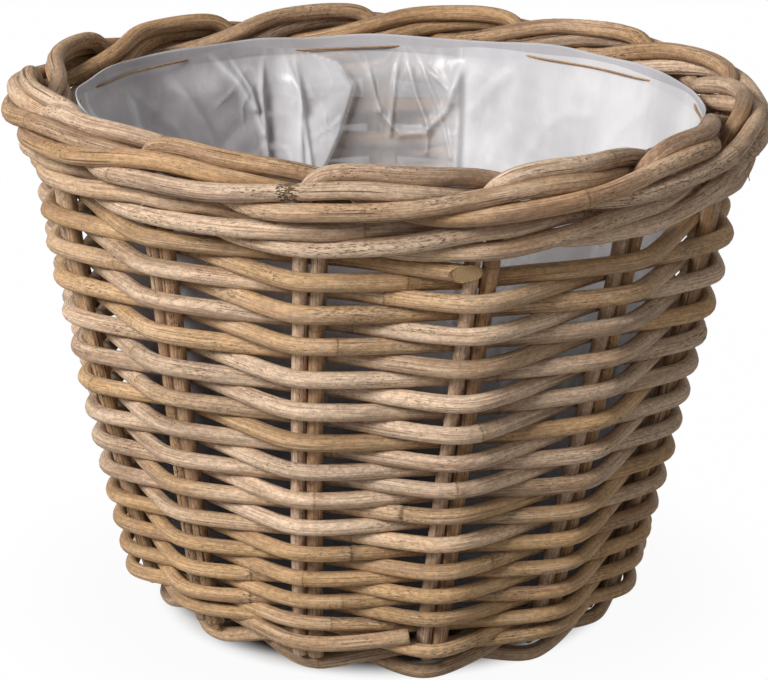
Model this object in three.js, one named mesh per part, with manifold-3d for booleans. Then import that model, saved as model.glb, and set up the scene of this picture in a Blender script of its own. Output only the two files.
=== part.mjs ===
// Round rattan planter with a film liner, millimetres, +Z up, standing on z = 0.
// Thirteen pairs of stakes rise from a woven base and lean outward. Sixteen weaver canes
// are laid round them in one continuous spiral, in front of one pair and behind the next.
// Two twined rods bind the foot and a three-rod wale the top, and the longer stake of each
// pair is turned down into the rolled border. A film bag is sewn in as the liner.

import * as THREE from "three";
import { mergeVertices } from "three/addons/utils/BufferGeometryUtils.js";
import Module from "manifold-3d";

// Overall sizes
const basketHeight = 290;
const pairCount = 13;
const firstPairAngle = THREE.MathUtils.degToRad(15.4);
const twistPerMillimetre = THREE.MathUtils.degToRad(0.026);
const twistDatum = 235;

// Wall: the line of the stakes, measured at the floor and at the rim
const stakeRadiusAtFloor = 130.5;
const stakeRadiusAtRim = 183.7;
const stakeDiameter = 8.2;
const caneClearance = 0.4;
const stakeBottom = 13.4;

// Weaver canes: thin and tightly packed at the foot, thicker and more open at the top
const weaverCount = 16;
const firstSpacingIndex = -1;
const firstRowHeight = 23.5;
const footPitch = 6.4;
const rimPitch = 9.69;
const rowClearance = 0.45;
const weaveHeadroom = 0.3;
const pairFlat = 5.6;

// Top wale and rolled border
const waleDiameter = 8.6;
const waleBelowRim = 34.6;
const waleStartIndex = 7;
const waleBow = 1.2;
const waleSpread = 1.2;
const byeStakeBelowRim = 20;

// Foot and base
const footRodDiameter = 8;
const footRodCount = 2;
const footOuterInset = 2;
const footInnerInset = 11;
const footTrim = 0.5;
const footFlat = 5;
const footSpread = 1.08;
const baseStickDiameter = 6.4;
const baseCrown = 5;
const baseWeaverDiameter = 6;
const baseWeaveStart = 48;
const baseWeaveGap = 2.2;
const baseWeaverCount = 2;
const baseCrossReach = 15;
const baseFanReach = 36;
const buttFlat = 2.5;
const tieDiameter = 4.4;
const tieStart = 25.8;
const tieTurns = 1.5;
const baseClearance = 0.5;

// Liner bag and the thread that holds it
const filmThickness = 0.8;
const hemThickness = 1.4;
const hemDepth = 9;
const linerBelowRim = 13.5;
const linerCornerReach = 14.4;
const linerCornerRise = 4.8;
const linerClearance = 0.6;
const linerSeat = 0.3;
const gatherDepth = 2.2;
const gatherCount = 13;
const stitchCount = 8;
const threadDiameter = 1.2;
const threadGap = 0.4;
const needleHole = 2.4;
const stitchBelowHem = 5;
const lastStitchShare = 0.9;

const pairSpacing = (2 * Math.PI) / pairCount;
const stakeSides = 5;
const weaverSides = 5;
const footSides = 6;
const threadSides = 4;

const rattan = new THREE.Color(0xa58a68);
const paleRattan = new THREE.Color(0xb49c7d);
const darkRattan = new THREE.Color(0x8a6d4c);

function rattanMaterial(colour) {
  return new THREE.MeshStandardMaterial({ color: colour, roughness: 0.72, metalness: 0 });
}

function stakeRadius(height) {
  const share = height / basketHeight;
  return stakeRadiusAtFloor + (stakeRadiusAtRim - stakeRadiusAtFloor) * share;
}

// A place on the basket: turn counts pairs of stakes, and the whole wall has a slight twist
function place(turn, radius, height, sideways = 0) {
  const twist = (height - twistDatum) * twistPerMillimetre;
  const angle = firstPairAngle + turn * pairSpacing + twist + sideways / radius;
  return new THREE.Vector3(radius * Math.sin(angle), -radius * Math.cos(angle), height);
}

const upward = new THREE.Vector3(0, 0, 1);

// Cane: a closed tube through the points, with one corner of its section facing outward,
// or facing the direction given, as for a stick that lies across the axis
function cane(points, diameter, sides, facing = null) {
  const positions = [];
  const indices = [];
  const count = points.length;
  for (let i = 0; i < count; i += 1) {
    const before = points[Math.max(i - 1, 0)];
    const after = points[Math.min(i + 1, count - 1)];
    const along = after.clone().sub(before).normalize();
    const outward = new THREE.Vector3(points[i].x, points[i].y, 0).normalize();
    const towards = facing === null ? outward : facing.clone();
    const across = towards.addScaledVector(along, -towards.dot(along)).normalize();
    const up = along.clone().cross(across);
    for (let side = 0; side < sides; side += 1) {
      const angle = (2 * Math.PI * side) / sides;
      const corner = points[i].clone();
      corner.addScaledVector(across, (diameter / 2) * Math.cos(angle));
      corner.addScaledVector(up, (diameter / 2) * Math.sin(angle));
      positions.push(corner.x, corner.y, corner.z);
    }
  }
  for (let i = 0; i < count - 1; i += 1) {
    for (let side = 0; side < sides; side += 1) {
      const next = (side + 1) % sides;
      const a = i * sides + side;
      const b = i * sides + next;
      indices.push(a, b, b + sides);
      indices.push(a, b + sides, a + sides);
    }
  }
  const last = (count - 1) * sides;
  for (let side = 1; side < sides - 1; side += 1) {
    indices.push(0, side + 1, side);
    indices.push(last, last + side, last + side + 1);
  }
  const geometry = new THREE.BufferGeometry();
  geometry.setAttribute("position", new THREE.Float32BufferAttribute(positions, 3));
  geometry.setIndex(indices);
  geometry.computeVertexNormals();
  return geometry;
}

function toSolid(wasm, geometry) {
  const bare = geometry.clone();
  bare.deleteAttribute("normal");
  bare.deleteAttribute("uv");
  const merged = mergeVertices(bare, 1e-4);
  const vertProperties = new Float32Array(merged.attributes.position.array);
  const triVerts = new Uint32Array(merged.index.array);
  return new wasm.Manifold(new wasm.Mesh({ numProp: 3, vertProperties, triVerts }));
}

function toGeometry(solid) {
  const mesh = solid.getMesh();
  const geometry = new THREE.BufferGeometry();
  geometry.setAttribute("position", new THREE.BufferAttribute(mesh.vertProperties, 3));
  geometry.setIndex(new THREE.BufferAttribute(mesh.triVerts, 1));
  geometry.computeVertexNormals();
  return geometry;
}

const wasm = await Module();
wasm.setup();

const planter = new THREE.Group();

function addPiece(name, geometry, material, group) {
  const mesh = new THREE.Mesh(geometry, material);
  mesh.name = name;
  group.add(mesh);
}

function numbered(name, index) {
  return `${name}_${String(index + 1).padStart(2, "0")}`;
}

// Rolled border: the path of one cane in cane diameters, from the bend above its stake,
// behind the next pair, in front of two pairs and in again behind the fourth
const lay = stakeDiameter + caneClearance;
const borderTopLine = basketHeight - stakeDiameter / 2;
const bendHeight = borderTopLine - 1.73 * lay;
const borderStations = [
  { turn: 0.02, out: 0.22, drop: 0.4 },
  { turn: 0.2, out: 0.21, drop: 0 },
  { turn: 0.5, out: 0.07, drop: 0.07 },
  { turn: 0.75, out: -0.58, drop: 0.21 },
  { turn: 1, out: -1.44, drop: 0.68 },
  { turn: 1.25, out: -1.02, drop: 1.45 },
  { turn: 1.5, out: -0.04, drop: 2.14 },
  { turn: 1.75, out: 0.9, drop: 2.44 },
  { turn: 2, out: 1.33, drop: 2.32 },
  { turn: 2.5, out: 1.4, drop: 1.79 },
  { turn: 3, out: 1.14, drop: 0.86 },
  { turn: 3.25, out: 1.02, drop: 0.69 },
  { turn: 3.5, out: 0.58, drop: 0.98 },
  { turn: 3.75, out: -0.59, drop: 1.29 },
  { turn: 4, out: -1.64, drop: 1.79 },
  { turn: 4.2, out: -1.86, drop: 2.11 },
];

// Stakes: two canes side by side, the left one long enough to make the border
const stakes = new THREE.Group();
planter.add(stakes);
const pairHalf = (stakeDiameter + caneClearance) / 2;
for (let pair = 0; pair < pairCount; pair += 1) {
  const mainPath = [];
  for (const share of [0, 0.5, 1]) {
    const height = THREE.MathUtils.lerp(stakeBottom, bendHeight, share);
    mainPath.push(place(pair, stakeRadius(height), height, -pairHalf));
  }
  for (const station of borderStations) {
    const radius = stakeRadiusAtRim + station.out * lay;
    mainPath.push(place(pair + station.turn, radius, borderTopLine - station.drop * lay));
  }
  addPiece(numbered("stake", pair), cane(mainPath, stakeDiameter, stakeSides),
    rattanMaterial(rattan), stakes);
  const byePath = [];
  for (const share of [0, 0.5, 1]) {
    const height = THREE.MathUtils.lerp(stakeBottom, basketHeight - byeStakeBelowRim, share);
    byePath.push(place(pair, stakeRadius(height), height, pairHalf));
  }
  addPiece(numbered("bye_stake", pair), cane(byePath, stakeDiameter, stakeSides),
    rattanMaterial(darkRattan), stakes);
}

// Weavers: one spiral of plain weave, cut into canes that butt behind a pair. Its rows
// rise from the foot to just under the wale.
const weavers = new THREE.Group();
planter.add(weavers);
const waleHeight = basketHeight - waleBelowRim;
const waleRise = (waleDiameter + caneClearance) / 2;
const topWeaverDiameter = rimPitch - rowClearance;
const lastRowHeight = waleHeight - waleRise - (waleDiameter + topWeaverDiameter) / 2
  - weaveHeadroom;
const weaveTurns = (lastRowHeight - firstRowHeight) / ((footPitch + rimPitch) / 2);
const lastSpacingIndex = 2 * Math.floor((weaveTurns * pairCount) / 2) + 1;

function rowPitch(spacing) {
  return THREE.MathUtils.lerp(footPitch, rimPitch, spacing / pairCount / weaveTurns);
}

function rowHeight(spacing) {
  return firstRowHeight + ((footPitch + rowPitch(spacing)) / 2) * (spacing / pairCount);
}

// Canes join behind a pair, so every cane runs over an even number of spacings
function joinIndex(index) {
  const evenSpacings = (lastSpacingIndex - firstSpacingIndex) / 2;
  return firstSpacingIndex + 2 * Math.round((evenSpacings * index) / weaverCount);
}

for (let index = 0; index < weaverCount; index += 1) {
  const first = joinIndex(index);
  const last = joinIndex(index + 1);
  const diameter = rowPitch(first) - rowClearance;
  const standOff = stakeDiameter / 2 + caneClearance + diameter / 2;
  const path = [];
  for (let spacing = first; spacing <= last; spacing += 1) {
    const side = spacing % 2 === 0 ? 1 : -1;
    const radius = stakeRadius(rowHeight(spacing)) + side * standOff;
    const flatLeft = spacing === first ? caneClearance / 2 : -pairFlat;
    const flatRight = spacing === last ? -caneClearance / 2 : pairFlat;
    for (const sideways of [flatLeft, flatRight]) {
      const height = rowHeight(spacing + sideways / radius / pairSpacing);
      path.push(place(spacing - 1, radius, height, sideways));
    }
  }
  addPiece(numbered("weaver", index), cane(path, diameter, weaverSides),
    rattanMaterial(index % 3 === 1 ? rattan : paleRattan), weavers);
}

// Three-rod wale: each rod passes in front of two pairs and behind the third.
// After three times round the rods close on themselves, each end hidden behind a pair.
const shortRodLength = 3 * Math.floor(pairCount / 3);
const rodLengths = [shortRodLength, shortRodLength, 3 * pairCount - 2 * shortRodLength];
const rodStartStep = waleStartIndex * 3 + 2;
const wales = new THREE.Group();
planter.add(wales);
const waleOut = stakeDiameter / 2 + caneClearance + waleDiameter / 2;
const waleAtPair = [
  { out: waleOut, rise: -waleRise },
  { out: waleOut, rise: waleRise },
  { out: -waleOut, rise: 0 },
];
const waleBetween = [
  { out: waleOut * waleBow, rise: 0 },
  { out: 0, rise: waleRise * waleSpread },
  { out: 0, rise: -waleRise * waleSpread },
];
let waleStep = rodStartStep;
rodLengths.forEach((length, index) => {
  const path = [];
  for (let step = 0; step <= length; step += 1) {
    const phase = (waleStep + step) % 3;
    const turn = waleStep + step;
    const height = waleHeight + waleAtPair[phase].rise;
    const radius = stakeRadius(height) + waleAtPair[phase].out;
    const flatLeft = step === 0 ? caneClearance / 2 : -pairFlat;
    const flatRight = step === length ? -caneClearance / 2 : pairFlat;
    path.push(place(turn, radius, height, flatLeft));
    path.push(place(turn, radius, height, flatRight));
    if (step < length) {
      const middle = waleHeight + waleBetween[phase].rise;
      path.push(place(turn + 0.5, stakeRadius(middle) + waleBetween[phase].out, middle));
    }
  }
  waleStep += length;
  addPiece(numbered("top_wale_rod", index), cane(path, waleDiameter, weaverSides),
    rattanMaterial(index === 1 ? rattan : paleRattan), wales);
});

// Base sticks: two groups of three cross in the middle and fan out to thirteen spokes,
// with one short stick pushed in to make the odd number that a plain weave needs
const base = new THREE.Group();
planter.add(base);
const footHalf = (footRodDiameter / 2) * Math.cos(Math.PI / footSides);
const stickHalf = (baseStickDiameter / 2) * Math.cos(Math.PI / stakeSides);
const footRodHeight = footHalf - footTrim;
const stickHeight = footRodHeight + footHalf + baseClearance + stickHalf;
const spokeEnd = stakeRadius(stickHeight);
const stickLay = baseStickDiameter + caneClearance;

function crownHeight(radius) {
  return stickHeight + baseCrown * (1 - (radius / spokeEnd) ** 2);
}

function spokePoint(spoke, radius, lift = 0) {
  return place(spoke, radius, crownHeight(radius) + lift);
}

// A stick runs straight through the cross at its own place beside its neighbours
function baseStick(fromSpoke, toSpoke, sideStep, axisSpoke, lift) {
  const axis = place(axisSpoke, 1, stickHeight).setZ(0).normalize();
  const across = new THREE.Vector3(-axis.y, axis.x, 0);
  const centre = across.clone().multiplyScalar(sideStep * stickLay);
  const path = [spokePoint(fromSpoke, spokeEnd), spokePoint(fromSpoke, baseFanReach)];
  for (const along of [baseCrossReach, -baseCrossReach]) {
    const point = centre.clone().addScaledVector(axis, along);
    point.z = crownHeight(0) + lift;
    path.push(point);
  }
  path.push(spokePoint(toSpoke, baseFanReach), spokePoint(toSpoke, spokeEnd));
  return path;
}

const lowerLift = -stickLay / 2;
const upperLift = stickLay / 2;
const stickPlan = [
  { from: 1, to: 5, side: 1, axis: 0, lift: lowerLift },
  { from: 0, to: 6, side: 0, axis: 0, lift: lowerLift },
  { from: 12, to: 7, side: -1, axis: 0, lift: lowerLift },
  { from: 4, to: 8, side: 1, axis: 3, lift: upperLift },
  { from: 3, to: 9, side: 0, axis: 3, lift: upperLift },
  { from: 2, to: 10, side: -1, axis: 3, lift: upperLift },
];
stickPlan.forEach((plan, index) => {
  const path = baseStick(plan.from, plan.to, plan.side, plan.axis, plan.lift);
  addPiece(numbered("base_stick", index), cane(path, baseStickDiameter, stakeSides, upward),
    rattanMaterial(darkRattan), base);
});
const shortStickPath = [spokePoint(11, baseFanReach), spokePoint(11, spokeEnd)];
addPiece("base_short_stick", cane(shortStickPath, baseStickDiameter, stakeSides, upward),
  rattanMaterial(darkRattan), base);

// Base weaver: plain weave over and under the spokes, spiralling out from the cross
function zigzagRise(reach, spacing) {
  return reach / Math.sqrt(1 - (2 * reach / spacing) ** 2);
}

// Two canes that butt on a spoke run level for a short way, so their cut ends are parallel
function buttedPlaces(step, first, last) {
  if (step === first) {
    return [caneClearance / 2, buttFlat];
  }
  return step === last ? [-buttFlat, -caneClearance / 2] : [0];
}

const footOuter = stakeRadiusAtFloor - footOuterInset;
const footInner = stakeRadiusAtFloor - footInnerInset;
const baseWeaveEnd = footInner - (footRodDiameter + baseWeaverDiameter) / 2 - baseWeaveGap;
const baseReach = (baseStickDiameter + baseWeaverDiameter) / 2 + baseClearance;
const baseRowPitch = baseWeaverDiameter + baseClearance;
const baseSpacings = Math.floor(((baseWeaveEnd - baseWeaveStart) / baseRowPitch) * pairCount);
const spacingsPerBaseWeaver = Math.floor(baseSpacings / baseWeaverCount);
for (let index = 0; index < baseWeaverCount; index += 1) {
  const first = index * spacingsPerBaseWeaver;
  const last = first + spacingsPerBaseWeaver;
  const path = [];
  for (let spacing = first; spacing <= last; spacing += 1) {
    const radius = baseWeaveStart + (baseRowPitch * spacing) / pairCount;
    const rise = zigzagRise(baseReach, radius * pairSpacing);
    const side = spacing % 2 === 0 ? 1 : -1;
    for (const sideways of buttedPlaces(spacing, first, last)) {
      path.push(spokePoint(spacing + sideways / radius / pairSpacing, radius, side * rise));
    }
  }
  addPiece(numbered("base_weaver", index), cane(path, baseWeaverDiameter, stakeSides),
    rattanMaterial(rattan), base);
}

// Foot: two rods twined round the ends of the spokes, each under one spoke and over the
// next by turns, and trimmed flat to stand on
const footOver = crownHeight(footInner) + baseStickDiameter / 2 + footHalf + baseClearance;
const footSlope = Math.atan2(footOver - footRodHeight, footOuter - footInner);
const footCross = (footSpread * (footRodDiameter + baseClearance)) / 2;
const footAtSpoke = [
  { radius: footOuter, height: footRodHeight },
  { radius: footInner, height: footOver },
];
const footBetween = [1, -1].map((side) => ({
  radius: (footOuter + footInner) / 2 + side * footCross * Math.sin(footSlope),
  height: (footOver + footRodHeight) / 2 + side * footCross * Math.cos(footSlope),
}));
const floorSide = 3 * stakeRadiusAtFloor;
const floorBlock = new THREE.BoxGeometry(floorSide, floorSide, footRodDiameter);
floorBlock.translate(0, 0, -footRodDiameter / 2);
const floorSolid = toSolid(wasm, floorBlock);
for (let index = 0; index < footRodCount; index += 1) {
  const path = [];
  for (let step = 0; step <= pairCount; step += 1) {
    const turn = waleStartIndex + step;
    const phase = (index * pairCount + step) % footRodCount;
    const at = footAtSpoke[phase];
    const flatLeft = step === 0 ? caneClearance / 2 : -footFlat;
    const flatRight = step === pairCount ? -caneClearance / 2 : footFlat;
    path.push(place(turn, at.radius, at.height, flatLeft));
    path.push(place(turn, at.radius, at.height, flatRight));
    if (step < pairCount) {
      path.push(place(turn + 0.5, footBetween[phase].radius, footBetween[phase].height));
    }
  }
  const rod = toSolid(wasm, cane(path, footRodDiameter, footSides)).subtract(floorSolid);
  addPiece(numbered("foot_rod", index), toGeometry(rod), rattanMaterial(rattan), base);
}

// Slath tie: the cane that binds the crossed sticks, over one group and under the other
const tieReach = (baseStickDiameter + tieDiameter) / 2 + baseClearance;
const tiePath = [];
const tieSteps = Math.round(tieTurns * pairCount);
for (let step = 0; step <= tieSteps; step += 1) {
  const spoke = step % pairCount;
  const overLower = spoke <= 1 || spoke === 12 || (spoke >= 5 && spoke <= 7);
  const radius = tieStart + ((tieDiameter + baseClearance) * step) / pairCount;
  const rise = overLower ? tieReach : -tieReach;
  tiePath.push(spokePoint(step, radius, rise));
}
addPiece("base_tie", cane(tiePath, tieDiameter, stakeSides), rattanMaterial(paleRattan), base);

// Liner: a film bag that hangs from its doubled hem, gathered a little round the wall
const linerTop = basketHeight - linerBelowRim;
const wallInset = stakeDiameter / 2 + caneClearance + waleDiameter + linerClearance;
const tailRadius = stakeRadiusAtRim + borderStations.at(-1).out * lay - stakeDiameter / 2;
const linerTopRadius = tailRadius - threadDiameter - 2 * threadGap;
const innerRowRise = zigzagRise(baseReach, baseWeaveStart * pairSpacing);
const baseTop = crownHeight(baseWeaveStart) + innerRowRise + baseWeaverDiameter / 2;
const linerFloorHeight = baseTop + linerSeat;
const linerCorner = linerFloorHeight + linerCornerRise;
const linerCornerRadius = stakeRadius(linerCorner) - wallInset;
const linerFloorRadius = linerCornerRadius - linerCornerReach;
const hemBottom = linerTop - hemDepth;

function linerRadius(height) {
  const share = (height - linerCorner) / (linerTop - linerCorner);
  return THREE.MathUtils.lerp(linerCornerRadius, linerTopRadius, share);
}

const bellyHeight = (linerCorner + linerTop) / 2;
const shoulderHeight = hemBottom - hemDepth;
const linerOutside = [
  [0, linerFloorHeight],
  [linerFloorRadius, linerFloorHeight],
  [linerCornerRadius, linerCorner],
  [linerRadius(bellyHeight), bellyHeight],
  [linerRadius(shoulderHeight), shoulderHeight],
  [linerTopRadius, linerTop],
];
const linerInside = [
  [linerTopRadius - hemThickness, linerTop],
  [linerRadius(hemBottom) - hemThickness, hemBottom],
  [linerRadius(shoulderHeight) - filmThickness, shoulderHeight],
  [linerRadius(bellyHeight) - filmThickness, bellyHeight],
  [linerCornerRadius - filmThickness, linerCorner],
  [linerFloorRadius - filmThickness, linerFloorHeight + filmThickness],
  [0, linerFloorHeight + filmThickness],
];
const linerProfile = [...linerOutside, ...linerInside].map(([x, y]) => new THREE.Vector2(x, y));
const linerSegments = 3 * gatherCount;
const linerGeometry = new THREE.LatheGeometry(linerProfile, linerSegments);
linerGeometry.rotateX(Math.PI / 2);
const film = linerGeometry.attributes.position;
for (let i = 0; i < film.count; i += 1) {
  const radius = Math.hypot(film.getX(i), film.getY(i));
  const angle = Math.atan2(film.getX(i), -film.getY(i));
  const wave = (1 + Math.cos(angle * gatherCount)) / 2;
  const onWall = film.getZ(i) > linerCorner - filmThickness && film.getZ(i) < shoulderHeight;
  const scale = onWall ? 1 - (gatherDepth * wave) / radius : 1;
  film.setX(i, film.getX(i) * scale);
  film.setY(i, film.getY(i) * scale);
}
let linerSolid = toSolid(wasm, linerGeometry);

// Liner stitches: one thread, on the inside of the hem and on its outside by turns
const stitchHeight = linerTop - stitchBelowHem;
const stitchTurn = (2 * Math.PI) / stitchCount;
const threadReach = threadDiameter / 2 + threadGap;
const threadOutside = linerTopRadius + threadReach;
const hemFace = (linerRadius(stitchHeight) - hemThickness) * Math.cos(Math.PI / linerSegments);
const threadInside = hemFace - threadReach;
const holeLength = 6 * hemThickness;
const threadPath = [];

function aroundHem(angle, radius) {
  return new THREE.Vector3(radius * Math.sin(angle), -radius * Math.cos(angle), stitchHeight);
}

function needleHoleAt(angle) {
  const hole = new THREE.BoxGeometry(needleHole, holeLength, needleHole);
  hole.rotateZ(angle);
  const at = aroundHem(angle, linerTopRadius);
  hole.translate(at.x, at.y, at.z);
  return toSolid(wasm, hole);
}

for (let stitch = 0; stitch < stitchCount; stitch += 1) {
  const start = stitch * stitchTurn;
  for (const share of [0, 0.5]) {
    threadPath.push(aroundHem(start + share * stitchTurn, threadInside));
    linerSolid = linerSolid.subtract(needleHoleAt(start + share * stitchTurn));
  }
  const lastShare = stitch === stitchCount - 1 ? lastStitchShare : 1;
  for (const share of [0.5, 0.625, 0.75, 0.875, lastShare]) {
    threadPath.push(aroundHem(start + share * stitchTurn, threadOutside));
  }
}
addPiece("liner_stitch", cane(threadPath, threadDiameter, threadSides),
  new THREE.MeshStandardMaterial({ color: 0x8b6a45, roughness: 0.8, metalness: 0 }), planter);
addPiece("liner", toGeometry(linerSolid), new THREE.MeshStandardMaterial({
  color: 0xe6e6e8, roughness: 0.25, metalness: 0, transparent: true, opacity: 0.35,
}), planter);

export default planter;
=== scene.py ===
# Round rattan planter with a clear film liner: its looks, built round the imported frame.
# The basket is made from the base up: slath, foot, stakes, weave, wale, border, liner.

import math

import bpy
import numpy as np
from mathutils import Euler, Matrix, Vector


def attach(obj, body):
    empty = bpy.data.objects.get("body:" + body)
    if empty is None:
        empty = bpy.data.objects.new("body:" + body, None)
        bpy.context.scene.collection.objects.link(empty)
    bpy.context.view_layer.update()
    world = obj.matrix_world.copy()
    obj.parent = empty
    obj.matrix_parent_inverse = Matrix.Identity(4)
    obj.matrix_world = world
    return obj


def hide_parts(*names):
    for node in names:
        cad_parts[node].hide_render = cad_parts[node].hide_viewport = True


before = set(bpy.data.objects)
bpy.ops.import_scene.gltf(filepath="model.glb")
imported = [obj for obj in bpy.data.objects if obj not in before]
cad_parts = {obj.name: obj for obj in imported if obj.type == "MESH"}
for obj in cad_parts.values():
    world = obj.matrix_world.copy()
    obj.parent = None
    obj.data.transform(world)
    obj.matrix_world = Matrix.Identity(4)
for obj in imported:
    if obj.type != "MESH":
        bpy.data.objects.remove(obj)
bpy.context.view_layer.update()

# Base sticks
# Six sticks of rattan cane cross three over three in the middle and fan out to spokes.
# A short seventh stick pushed in beside them makes the odd number that a plain weave needs.
pair_count = 13
pair_spacing = 2 * math.pi / pair_count
first_pair_angle = math.radians(15.4)
twist_per_metre = math.radians(26)
twist_datum = 0.235
basket_height = 0.29
stake_radius_at_floor = 0.1305
stake_radius_at_rim = 0.1837
stake_diameter = 0.0082
cane_clearance = 0.0004
base_clearance = 0.0005
base_stick_diameter = 0.0064
base_crown = 0.005
base_cross_reach = 0.015
base_fan_reach = 0.036
foot_rod_diameter = 0.008
foot_trim = 0.0005
foot_half = foot_rod_diameter / 2 * math.cos(math.pi / 6)
stick_half = base_stick_diameter / 2 * math.cos(math.pi / 5)
foot_rod_height = foot_half - foot_trim
stick_height = foot_rod_height + foot_half + base_clearance + stick_half
stick_lay = base_stick_diameter + cane_clearance


def stake_radius(height):
    share = height / basket_height
    return stake_radius_at_floor + (stake_radius_at_rim - stake_radius_at_floor) * share


spoke_shortened = 0.007
spoke_end = stake_radius(stick_height)
spoke_tip = spoke_end - spoke_shortened


def point_at(bearing, reach, height):
    return Vector((reach * math.sin(bearing), -reach * math.cos(bearing), height))


def place(turn, radius, height, sideways=0.0):
    """A place on the basket: turn counts pairs of stakes, and the wall has a slight twist."""
    twist = (height - twist_datum) * twist_per_metre
    angle = first_pair_angle + turn * pair_spacing + twist + sideways / radius
    return point_at(angle, radius, height)


# How far the hand-made weave has settled up or down at each pair, in millimetres, at heights
# from the foot to the border, and how far its wall stands in or out
lift_heights = [0.003, 0.012, 0.03, 0.044, 0.07, 0.1, 0.13, 0.16, 0.19, 0.22, 0.242, 0.256,
                0.272, 0.286]
lift_of_pair = np.array([
    [1, 0, -9, -3, -3.2, -0.5, -2.2, -3.3, -1, -2.4, -6, -2, -1, -1],
    [1, 0.5, -4, -6, -4, -2, -1, 0, 0.5, -2, -3.5, -2.5, 0, -0.5],
    [2, 0, -8, -6, -3.2, -1.5, -1, -1.5, -4.6, -3.2, -2, -1, 0, 0],
    [0, 0, -3, -3, -1, 0, 1, 2, 1, 0, 0, 0, 0, 0],
    [0, 0, 1, 2, 2, 1, 0, -1, 1, 1, 0, 1, 1, 1],
    [0, 0, 0, 1, -1, -2, -1, 1, 2, 1, 0, 1, 2, 2],
    [0, 0, -1, -2, -1, 1, 2, 0, -1, -1, 0, 2, 3, 3],
    [0, 0, 0, 1, 2, 1, -1, -2, 0, 1, 1, 2, 3, 3],
    [1, 1, -4, -5, -4, -2, 0, 1, 3, 4, 3, 5, 6, 6],
    [3, 2, -7, -7, -5, -5, -4, -1, 1, 5, 5, 6, 7, 7],
    [5, 3, -8, -8, -5.3, -2, -0.8, 2, 7, 7.7, 6, 6, 7.5, 7.5],
    [6, 5, 0.5, -3, -0.7, 2, 4.5, 5.8, 7, 7, 3.5, 5.4, 7, 7.5],
    [4, 3.5, 0.7, -0.2, -0.7, 0.2, 1.2, 2, 3, 1.3, 0, -2.5, 1, 2],
]) / 1000
bulge_heights = [0.003, 0.03, 0.1, 0.16, 0.2, 0.235, 0.256, 0.286]
bulge_of_pair = np.zeros((pair_count, len(bulge_heights)))
bulge_of_pair[1] = [0, 0, 1, 1, 1, 1, 1, 1]
bulge_of_pair[2] = [-2, -1, 3, 4, 5, 5, 4, 4]
bulge_of_pair[3] = [0, 0, 1, 4, 6, 6, 5, 5]
bulge_of_pair[4] = [0, 0, 0, 2, 3, 3, 3, 3]
bulge_of_pair[8] = [-2, 0, 3, 5, 6, 5, 4, 5]
bulge_of_pair[9] = [-4, 0, 4, 6, 7, 6, 4, 5]
bulge_of_pair[10] = [-3, 0, 3, 4, 6, 4, 2, 2]
bulge_of_pair[11] = [-3, 0, 0, 0, 0, 0, 0, 0]
bulge_of_pair[12] = [-2, 0, 0, 0, 0, 0, 0, 0]
bulge_of_pair /= 1000
settled_reach = 0.12


def eased(share):
    """A share of 0 to 1 that starts and ends gently."""
    return share * share * (3 - 2 * share)


def settled(point, lifted=True):
    """Where a place in the regular weave has moved to in the hand-made one."""
    angle = math.atan2(point.x, -point.y) - first_pair_angle
    angle -= (point.z - twist_datum) * twist_per_metre
    turn = (angle / pair_spacing) % pair_count
    low = int(turn) % pair_count
    high = (low + 1) % pair_count
    share = eased(turn % 1)
    out = (np.interp(point.z, bulge_heights, bulge_of_pair[low]) * (1 - share)
           + np.interp(point.z, bulge_heights, bulge_of_pair[high]) * share)
    lift = (np.interp(point.z, lift_heights, lift_of_pair[low]) * (1 - share)
            + np.interp(point.z, lift_heights, lift_of_pair[high]) * share)
    reach = math.hypot(point.x, point.y)
    held = min(1, reach / settled_reach) ** 4
    grown = 1 + held * out / max(reach, 0.001)
    return Vector((point.x * grown, point.y * grown, point.z + (held * lift if lifted else 0)))


def crown_height(radius):
    return stick_height + base_crown * (1 - (radius / spoke_end) ** 2)


def spoke_point(spoke, radius, lift=0.0):
    return settled(place(spoke, radius, crown_height(radius) + lift))


ease_reach = 5
ease_fall = 2.2


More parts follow.
